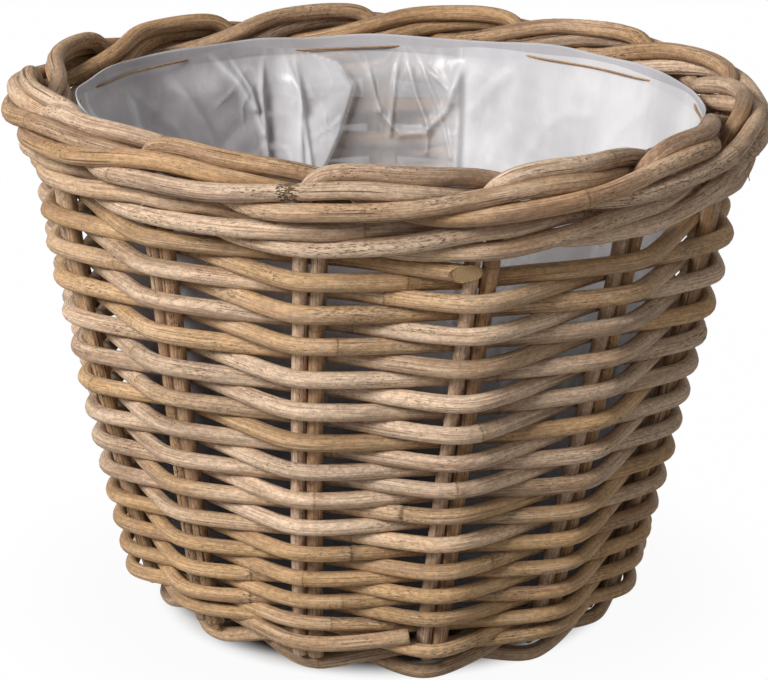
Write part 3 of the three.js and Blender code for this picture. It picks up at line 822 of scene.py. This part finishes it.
def fold(top, low, left, right, depth, from_height, to_height):
    """A crease that runs from one bearing at the rim to another at the foot."""
    line = low + (top - low) * film_share
    away = around(film_angle, line)
    rise = np.where(away < 0, 1 + away / left, 1 - away / right)
    rise = np.clip(rise, 0, 1)
    reach = step_up(film_height, from_height - 0.03, from_height + 0.03)
    reach = reach * (1 - step_up(film_height, to_height - 0.02, to_height + 0.02))
    return depth * rise ** 1.3 * reach


def wrinkle_field(fewest, most, upward):
    """A smooth random field over the film, about 1 deep: waves round it and waves up it."""
    field = np.zeros((film_rows, film_columns))
    for _ in range(16):
        waves = film_random.integers(fewest, most) * film_random.choice((-1, 1))
        climb = film_random.normal(0, upward) * film_height
        field += np.cos(waves * film_bearing + climb + film_random.uniform(0, 6.28))
    return field / math.sqrt(8)


# Deep folds by bearing from the front: rim, foot, spread each way, depth in millimetres,
# and the heights between which they run
deep_folds = [
    (164, 162, 1.2, 5, 4, 0, 0.3), (246, 214, 7, 12, 2.5, 0.1, 0.27),
    (199.5, 205, 1.5, 4, 3, 0.2, 0.3),
    (262, 280, 5, 9, 5, 0, 0.3), (282, 276, 5, 9, 6, 0, 0.3), (301, 309, 6, 5, 5, 0, 0.3),
    (322, 318, 5, 6, 5, 0, 0.3), (344, 350, 6, 4, 4, 0, 0.3), (3, -3, 5, 7, 5, 0, 0.3),
    (22, 29, 4, 6, 5, 0, 0.3), (47, 39, 6, 5, 6, 0, 0.3), (67, 73, 5, 5, 5, 0, 0.3),
]


def crease_line(stops, width):
    """How near the film's points are to a line of bearings and heights, 1 on it."""
    nearest = np.full((film_rows, film_columns), 1.0)
    across = around(film_angle, stops[0][0]) * math.radians(liner_top_radius)
    for (a, low), (b, high) in zip(stops, stops[1:]):
        start = np.array([around(a, stops[0][0]) * math.radians(liner_top_radius), low])
        run = np.array([around(b, stops[0][0]) * math.radians(liner_top_radius), high]) - start
        share = ((across - start[0]) * run[0] + (film_height - start[1]) * run[1]) / (run @ run)
        share = np.clip(share, 0, 1)
        nearest = np.minimum(nearest, np.hypot(across - start[0] - share * run[0],
                                               film_height - start[1] - share * run[1]))
    return np.exp(-(nearest / width) ** 2)


# Creases where the film is drawn to its stitches: their line, width and height in millimetres,
# and how white they are, partly milky film and partly a painted highlight
drawn_creases = [
    ([(177, 0.274), (178.5, 0.246), (179.3, 0.222)], 1.3, 2.5, 0.7),
    ([(177, 0.274), (173.5, 0.245), (170.6, 0.228), (171, 0.212)], 1.5, 2.5, 0.8),
    ([(176.6, 0.274), (171, 0.258), (166.5, 0.25)], 1.2, 2.0, 0.6),
    ([(181.5, 0.236), (177, 0.223), (171.5, 0.224), (166.5, 0.238), (163.6, 0.262)],
     2.6, 3.0, 0.8),
    ([(184.5, 0.264), (182.5, 0.244), (181.5, 0.236)], 1.2, 2.0, 0.6),
    ([(188.5, 0.27), (184.5, 0.258), (180.5, 0.262), (177.5, 0.273)], 1.0, 1.5, 0.5),
    ([(174, 0.268), (168.5, 0.24), (165, 0.21)], 1.2, 2.0, 0.5),
    ([(169, 0.27), (167.5, 0.255), (165, 0.244)], 3.5, 2.0, 0.6),
    ([(218.7, 0.27), (213.5, 0.255), (210.2, 0.24)], 2.6, 2.5, 0.75),
    ([(214.5, 0.268), (210.5, 0.25), (208.5, 0.225)], 1.6, 2.0, 0.6),
    ([(231, 0.268), (223, 0.236), (217, 0.2)], 4.0, 2.0, 0.1),
    ([(243, 0.264), (230, 0.236), (224, 0.2)], 5.0, 2.5, 0.05),
    ([(206.5, 0.27), (208, 0.25), (207.8, 0.2), (209, 0.17)], 1.6, 3.0, 0.3),
    ([(203, 0.272), (201, 0.255), (199.5, 0.235), (198.5, 0.19)], 2.0, 2.0, 0.5),
    ([(153, 0.262), (157, 0.25), (161, 0.237)], 4.5, 0.9, 0.15),
    ([(146, 0.218), (143.5, 0.232), (139, 0.241), (134, 0.243)], 4.0, 0.8, 0.1),
    ([(120, 0.25), (125, 0.238), (128, 0.222)], 4.5, 0.8, 0.1),
]
depth = np.zeros((film_rows, film_columns))
crease_with_painted_highlight = np.zeros_like(depth)
# Fold ridges mark milkier film and also get a painted highlight
for top, low, left, right, deep, from_height, to_height in deep_folds:
    raised = fold(top, low, left, right, deep / 1000, from_height, to_height)
    depth = np.maximum(depth, raised)
    crease_with_painted_highlight = np.maximum(crease_with_painted_highlight, np.clip(raised / (deep / 1000) - 0.72, 0, 1) * 3)
# Each drawn line is milkier and carries a painted highlight
for stops, width, height, whiteness in drawn_creases:
    drawn = crease_line(stops, width / 1000)
    depth = depth + height / 1000 * drawn
    crease_with_painted_highlight = np.maximum(crease_with_painted_highlight, whiteness * drawn ** 2)
# The clearer part of the film at the back, between two bearings, and beside it the whitest part,
# where painted light makes the film colour whiter on the side the lamp falls on
clear_start = (163.2, 164.4)
clear_end = (203.4, 205)
clear_part = (step_up(film_angle, *clear_start) * (1 - step_up(film_angle, *clear_end))
              * step_up(film_height, 0.13, 0.21))
painted_light_end = clear_start[1] + 70 * (1 - step_up(film_height, 0.12, 0.2))
painted_light_side = step_up(film_angle, 60, 95) * (1 - step_up(film_angle, clear_start[0], painted_light_end))
# Soft swells and the fine crossing creases of handled film
swell_depth = 0.0015
ripple_depth = 0.00025
sharp_depth = 0.0008
smoother = 1 - 0.75 * painted_light_side
swell = 1 + 0.8 * wrinkle_field(5, 14, 60)
depth = depth + swell_depth * np.clip(swell, 0, 3) * (1 - 0.4 * painted_light_side)
depth = depth + ripple_depth * (1 + wrinkle_field(20, 50, 220)) * smoother
# Sharp wrinkles mark milkier film and get a painted highlight, most in the clear part
for fewest, most, upward, width, strength in ((8, 24, 130, 0.16, 1.0), (14, 40, 230, 0.2, 0.6)):
    sharp = np.clip(1 - np.abs(wrinkle_field(fewest, most, upward)) / width, 0, 1)
    sharp = sharp * step_up(wrinkle_field(8, 22, 110), 0.1, 1.1) * strength
    depth = depth + sharp_depth * sharp * smoother
    crease_with_painted_highlight = np.maximum(crease_with_painted_highlight, sharp * smoother * (0.3 + 0.5 * clear_part))
# The slack pouch at the back left, a leaf shape that stands off the wall
pouch_depth = 0.007
pouch_heights = [0.17, 0.2, 0.225, 0.25, 0.262, 0.273]
pouch_bearings = [199, 196, 190.5, 187, 191, 202]
pouch_edge = np.interp(film_height, pouch_heights, pouch_bearings)
pouch_in = step_up(film_angle, pouch_edge - 1.2, pouch_edge + 1.0)
pouch_in = pouch_in * (1 - step_up(film_angle, 201, 206)) * step_up(film_height, 0.15, 0.19)
depth += pouch_depth * pouch_in
pouch_rim = np.clip(1 - np.abs(film_angle - pouch_edge) / 0.8, 0, 1)
pouch_rim = pouch_rim * step_up(film_height, 0.18, 0.2) * (film_height < 0.272)
# The pouch's rim is milkier and gets a painted highlight along it
crease_with_painted_highlight = np.maximum(crease_with_painted_highlight, 1.3 * pouch_rim)
depth = depth * step_up(film_share, 0.0, 0.17) * (1 - step_up(film_height, 0.25, 0.2665))

# The rim is drawn out straight between the ends of the stitches: its slack in millimetres
rim_bearings = [0, 28, 58, 75, 101, 116, 152, 163, 176, 201, 222, 258, 285, 312, 335, 360]
rim_slack = [0, 1.2, 1.5, 3.5, 4.2, 4.2, 0.4, -1.5, 0.5, -1, 0.6, -1.2, 0, -0.8, 0.4, 0]
rim_pull = np.interp(film_angle, rim_bearings, rim_slack) / 1000
rim_dip = np.zeros_like(film_angle)
for waves, size in ((5, 0.0009), (11, 0.0006), (17, 0.0003)):
    rim_dip += size * np.cos(waves * film_bearing + film_random.uniform(0, 6.28))
full = liner_corner_radius + (liner_top_radius + rim_pull - liner_corner_radius) * film_share
radius = full - film_stand_off - depth

# How milky the film is: least in its clear part, in the slit beside the pouch and at the front
milk = np.full_like(depth, 0.95)
hem_milk = 1 - 0.7 * step_up(film_angle, 160, 172) * (1 - step_up(film_angle, 212, 240))
veil = 0.5 + 0.13 * wrinkle_field(6, 16, 60) + 0.2 * step_up(film_height, 0.238, 0.268)
veil = veil + 0.25 * (1 - step_up(film_angle, 166, 174))
milk = milk + (np.clip(veil, 0.12, 0.8) - milk) * clear_part
milk = milk + (0.88 - milk) * pouch_in
slit_bearing = 206.2
slit = np.clip(1 - np.abs(film_angle - slit_bearing) / 1.1, 0, 1)
slit = slit * step_up(film_height, 0.15, 0.18)
milk = milk - 0.5 * slit * (1 - step_up(film_height, 0.235, 0.255))
milk = milk * (0.88 + 0.12 * step_up(film_height, 0.08, 0.2))
front_part = step_up(np.cos(film_bearing), 0.2, 0.55)
milk = milk - 0.3 * front_part * step_up(film_height, 0.15, 0.24)
in_hem = film_height > liner_top - hem_depth
milk = np.where(in_hem, milk * (0.45 + 0.55 * hem_milk), milk)
# A painted highlight and milkier film along the film's top edge
crease_with_painted_highlight = np.maximum(crease_with_painted_highlight, 0.45 * step_up(film_height, liner_top - 0.0012, liner_top))
# Painted light: the clear part is painted nearly as white
painted_light_side = np.maximum(painted_light_side, 0.75 * clear_part)


def film_places(reach, height):
    """Points of the film, moved with the settled wall that carries it."""
    reach, height, bearing = np.broadcast_arrays(reach, height, film_bearing)
    flat = np.stack([reach * np.sin(bearing), -reach * np.cos(bearing), height], axis=-1)
    flat = flat.reshape(-1, 3)
    moved = np.array([tuple(settled(Vector(point))) for point in flat])
    sideways = step_up(flat[:, 2], 0.03, 0.19)
    held = np.stack([sideways, sideways, step_up(flat[:, 2], 0.13, 0.262)], axis=1)
    return flat + (moved - flat) * held


wall_places = film_places(radius, film_height + rim_dip * film_share ** 6)
floor_places = []
floor_puff = 0.00144
for share in np.linspace(0.05, 1, 24, endpoint=False):
    bearing = film_bearing[0]
    reach = share * (liner_corner_radius - 0.002)
    level = liner_floor + (liner_corner - liner_floor) * share ** 6
    level = level + floor_puff * (1 + np.sin(bearing * 11 + share * 20)) * (1 - share) * share
    floor_places.append(np.stack([reach * np.sin(bearing), -reach * np.cos(bearing), level],
                                 axis=1))
hem_share = np.linspace(0, 1, hem_rows)[:, None]
hem_radius = liner_top_radius + rim_pull - 2 * film_stand_off
hem_radius = hem_radius - 0.0002 * np.sin(film_bearing * 13)
hem_places = film_places(hem_radius, liner_top + rim_dip - hem_depth * hem_share)
film_vertices = np.vstack([*floor_places, wall_places, hem_places, [[0, 0, liner_floor]]])
row_count = (len(film_vertices) - 1) // film_columns
grid = np.arange(row_count * film_columns).reshape(row_count, film_columns)
right = np.roll(grid, -1, axis=1)
quads = np.stack([grid[:-1], right[:-1], right[1:], grid[1:]], axis=2).reshape(-1, 4)
centre_index = row_count * film_columns
fan = [(centre_index, int(right[0, i]), int(grid[0, i])) for i in range(film_columns)]
film_mesh = bpy.data.meshes.new("liner_film")
film_mesh.from_pydata(film_vertices.tolist(), [], quads.tolist() + fan)
film_mesh.shade_smooth()
floor_count = len(floor_places) * film_columns
film_marks = {"film_milk": (0.8, milk, 0.9), "film_crease_and_painted_highlight": (0.0, crease_with_painted_highlight, 0.0),
              "film_painted_light": (0.0, painted_light_side, 0.0),
              "film_hem": (0.0, hem_milk * in_hem, hem_milk)}
for label, (on_floor, on_wall, on_hem) in film_marks.items():
    on_hem = np.broadcast_to(on_hem, (hem_rows, film_columns))
    values = np.concatenate([np.full(floor_count, on_floor), on_wall.ravel(), on_hem.ravel(),
                             [on_floor]])
    film_mesh.attributes.new(label, "FLOAT", "POINT").data.foreach_set("value", values)
film_material, film_tree, film_shader = new_material("clear_film")
film_mesh.materials.append(film_material)
liner_film = add_object("liner_film", film_mesh)
film_place = film_tree.nodes.new("ShaderNodeTexCoord").outputs["Object"]
film_level = add_node(film_tree, "ShaderNodeSeparateXYZ", {0: film_place}).outputs["Z"]
cloud = noise(film_tree, film_place, (26, 26, 10), 3.0)
film_milky = attribute(film_tree, "film_milk")
fold_and_painted_highlight = attribute(film_tree, "film_crease_and_painted_highlight")
film_double = attribute(film_tree, "film_hem")
opaque = times(film_tree, film_milky, spread(film_tree, cloud, 0.35, 0.65, 0.93, 1.05))
opaque = larger(film_tree, opaque, times(film_tree, fold_and_painted_highlight, 0.75))
opaque = larger(film_tree, opaque, times(film_tree, film_double, 0.42))
# The film is pale where the light falls on it: all over its inside, and high up outside
inside = film_tree.nodes.new("ShaderNodeNewGeometry").outputs["Backfacing"]
lit = larger(film_tree, spread(film_tree, film_level, 0.1, 0.225), times(film_tree, inside, 0.85))
# Painted light: the side the lamp falls on gets a whiter film colour
pale = blend(film_tree, attribute(film_tree, "film_painted_light"), (0.5, 0.476, 0.49, 1),
             (0.72, 0.705, 0.715, 1))
pale = scaled_colour(film_tree, pale, spread(film_tree, cloud, 0.36, 0.64, 0.93, 1.05))
film_colour = blend(film_tree, lit, (0.035, 0.026, 0.03, 1), pale)
film_colour = blend(film_tree, times(film_tree, film_double, 0.45), film_colour,
                    (0.6, 0.59, 0.62, 1))
# Painted highlight: creases are painted near white where the film is painted lit; their extra
# opacity above is the film's real milkiness
painted_crease_highlight = times(film_tree, fold_and_painted_highlight, times(film_tree, lit, 0.75))
film_colour = blend(film_tree, painted_crease_highlight, film_colour, (0.9, 0.9, 0.92, 1))
crinkle = noise(film_tree, film_place, (260, 260, 90), 4.0, 0.6)
film_bump = add_node(film_tree, "ShaderNodeBump", {"Height": crinkle, "Strength": 0.25,
                     "Distance": 0.0015})
film_tree.links.new(film_colour, film_shader.inputs["Base Color"])
film_tree.links.new(opaque, film_shader.inputs["Alpha"])
film_tree.links.new(film_bump.outputs["Normal"], film_shader.inputs["Normal"])
film_tree.links.new(spread(film_tree, inside, 0, 1, 0.7, 0.3), film_shader.inputs["Roughness"])
film_shader.inputs["Specular IOR Level"].default_value = 0.4
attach(liner_film, "root")
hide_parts("liner")

# Liner stitches
# One brown thread in long running stitches through the hem, inside it and outside by turns.
thread_diameter = 0.0012
thread_inside = 0.0029
thread_outside = -0.0006
stitch_height = liner_top - 0.0068
stitch_sag = 0.0006
inside_stitches = [(30, 58), (75, 101), (116, 152), (176, 201), (222, 258), (285, 312),
                   (335, 368)]
thread_points = []
for start, end in inside_stitches:
    for share in (0.0, 0.1, 0.5, 0.9, 1.0):
        degrees = start + (end - start) * share
        inward = thread_inside if 0 < share < 1 else thread_outside
        slack = np.interp(degrees % 360, rim_bearings, rim_slack) / 1000
        level = stitch_height - stitch_sag * math.sin(share * math.pi)
        stitch = point_at(math.radians(degrees), liner_top_radius + slack - inward, level)
        thread_points.append(settled(stitch))
liner_thread = cane_piece("liner_stitch", thread_points, thread_diameter, stake_cane, "thread",
                          0.9)

# Studio
# A plain white floor, a broad soft light from the upper left and a weak one from the right.


def seen_plainly(tree):
    """1 for what the camera sees with no film in front, or sees in gloss or through glass."""
    ray = add_node(tree, "ShaderNodeLightPath", {}).outputs
    unveiled = maths(tree, "LESS_THAN", ray["Transparent Depth"], 0.5)
    direct = times(tree, ray["Is Camera Ray"], unveiled)
    return larger(tree, direct, larger(tree, ray["Is Glossy Ray"], ray["Is Transmission Ray"]))


floor_mesh = bpy.data.meshes.new("floor")
floor_mesh.from_pydata([(-6, -6, 0), (6, -6, 0), (6, 6, 0), (-6, 6, 0)], [], [(0, 1, 2, 3)])
floor = add_object("floor", floor_mesh)
floor_material, floor_tree, floor_shader = new_material("floor")
floor_shader.inputs["Base Color"].default_value = (0.34, 0.33, 0.32, 1)
floor_shader.inputs["Roughness"].default_value = 0.9
white = add_node(floor_tree, "ShaderNodeEmission", {"Color": (1, 1, 1, 1), "Strength": 1.0})
floor_place = floor_tree.nodes.new("ShaderNodeTexCoord").outputs["Object"]
floor_reach = add_node(floor_tree, "ShaderNodeVectorMath", {0: floor_place},
                       operation="LENGTH").outputs["Value"]
whiteness = maths(floor_tree, "ADD", spread(floor_tree, floor_reach, 0.105, 0.131, 0.0, 0.95),
                  spread(floor_tree, floor_reach, 0.14, 0.24, 0.0, 0.045))
whitened = times(floor_tree, seen_plainly(floor_tree), whiteness)
surface = add_node(floor_tree, "ShaderNodeMixShader", {0: whitened, 1: floor_shader.outputs[0],
                   2: white.outputs[0]})
floor_tree.links.new(surface.outputs[0], floor_tree.nodes["Material Output"].inputs["Surface"])
floor_mesh.materials.append(floor_material)


middle_of_basket = Vector((0, 0, 0.15))


def soft_light(name, location, size, watts):
    lamp = bpy.data.lights.new(name, "AREA")
    lamp.shape = "RECTANGLE"
    lamp.size = size
    lamp.size_y = size
    lamp.energy = watts
    holder = add_object(name, lamp)
    holder.location = location
    aim = middle_of_basket - Vector(location)
    holder.rotation_euler = aim.to_track_quat("-Z", "Y").to_euler()


soft_light("key", (-1.41, -1.47, 1.6), 0.9, 69)
soft_light("fill", (1.5, -1.3, 1.2), 1.2, 3)
world = bpy.data.worlds.new("studio")
bpy.context.scene.world = world
world.use_nodes = True
sky = world.node_tree.nodes["Background"]
sky.inputs["Color"].default_value = (1, 1, 1, 1)
sky_strength = spread(world.node_tree, seen_plainly(world.node_tree), 0, 1, 0.22, 1)
world.node_tree.links.new(sky_strength, sky.inputs["Strength"])

# The camera, from the photo's frame: focal length, centre of sight and tilt
frame_width = 768
frame_height = 680
focal_length = 2895.6
sight_x = 386.73
sight_y = 335.13
camera_tilt = 0.317
camera = bpy.data.cameras.new("camera")
camera.sensor_width = 36
camera.lens = focal_length * camera.sensor_width / frame_width
camera.shift_x = (frame_width / 2 - sight_x) / frame_width
camera.shift_y = (sight_y - frame_height / 2) / frame_width
camera.clip_start = 0.05
camera_holder = add_object("camera", camera)
camera_holder.location = (0, -1.5068, 0.64087)
camera_holder.rotation_euler = Euler((math.pi / 2 - camera_tilt, 0, 0))
bpy.context.scene.camera = camera_holder
bpy.context.scene.view_settings.view_transform = "Standard"
